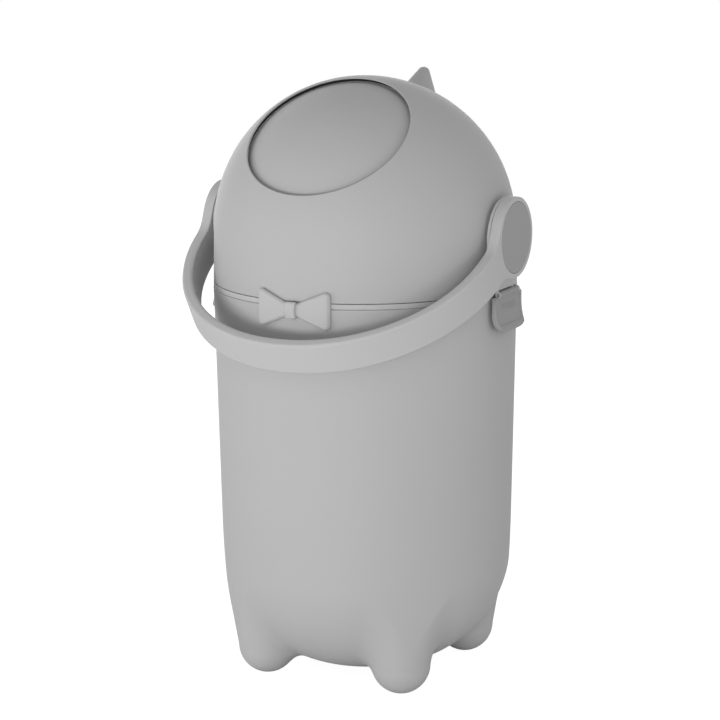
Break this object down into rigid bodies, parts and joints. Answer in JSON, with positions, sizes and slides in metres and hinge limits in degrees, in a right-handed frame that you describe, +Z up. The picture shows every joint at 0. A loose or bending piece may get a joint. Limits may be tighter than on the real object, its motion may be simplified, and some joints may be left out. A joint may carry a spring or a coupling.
{
  "type": "nappy bin",
  "caption": "Nappy bin with a round tub on moulded feet, a domed head with a ball-shaped closing drum turned by a swing-over carrying handle, and side latches.",
  "frame": {"origin": "on the floor plane under the middle of the tub, centred between the feet's soles", "axes": "+Z up, front with the bow tie towards -Y, +X to the right seen from the front, drum axis along X"},
  "size_m": [0.26, 0.2677, 0.475],
  "materials": {
    "tub_plastic": "satin grey",
    "collar_plastic": "satin light grey",
    "bow_plastic": "satin grey",
    "head_plastic": "satin grey",
    "hub_plastic": "satin light grey",
    "drum_plastic": "satin grey",
    "handle_plastic": "satin grey",
    "latch_plastic": "satin grey",
    "inner_plastic": "matte grey",
    "seal_rubber": "matte black",
    "screw_steel": "brushed"
  },
  "bodies": {
    "bin": {"bin_body": "tub_plastic", "bow_wings": "bow_plastic", "bow_knot": "bow_plastic"},
    "collar": {"collar_ring": "collar_plastic"},
    "head": {"dome_shell": "head_plastic", "rim_seal": "seal_rubber", "opening_seal": "seal_rubber", "ball_seat": "inner_plastic", "outlet_seal": "seal_rubber", "hub_base_left": "hub_plastic", "hub_base_right": "hub_plastic", "axle_bush_left": "inner_plastic", "axle_bush_right": "inner_plastic", "latch_pin_left": "screw_steel", "latch_pin_right": "screw_steel"},
    "drum": {"drum_mouth_half": "drum_plastic", "drum_back_half": "drum_plastic", "pocket_cup": "drum_plastic", "axle_left": "inner_plastic", "axle_right": "inner_plastic", "axle_screws": "screw_steel", "handle": "handle_plastic", "hub_cap_left": "handle_plastic", "hub_cap_right": "handle_plastic"},
    "latch_left": {"latch_left": "latch_plastic"},
    "latch_right": {"latch_right": "latch_plastic"}
  },
  "joints": [
    {"name": "collar_lift", "type": "slide", "parent": "bin", "child": "collar", "axis": [0, 0, 1], "range_m": [0, 0.15]},
    {"name": "head_lift", "type": "slide", "parent": "collar", "child": "head", "axis": [0, 0, 1], "range_m": [0, 0.15]},
    {"name": "drum_turn", "type": "hinge", "parent": "head", "child": "drum", "pos_m": [0, 0, 0.356], "axis": [-1, 0, 0], "range_deg": [0, 150]},
    {"name": "latch_left_turn", "type": "hinge", "parent": "head", "child": "latch_left", "pos_m": [-0.1228, 0, 0.3134], "axis": [0, 1, 0], "range_deg": [0, 75]},
    {"name": "latch_right_turn", "type": "hinge", "parent": "head", "child": "latch_right", "pos_m": [0.1228, 0, 0.3134], "axis": [0, -1, 0], "range_deg": [0, 75]}
  ]
}
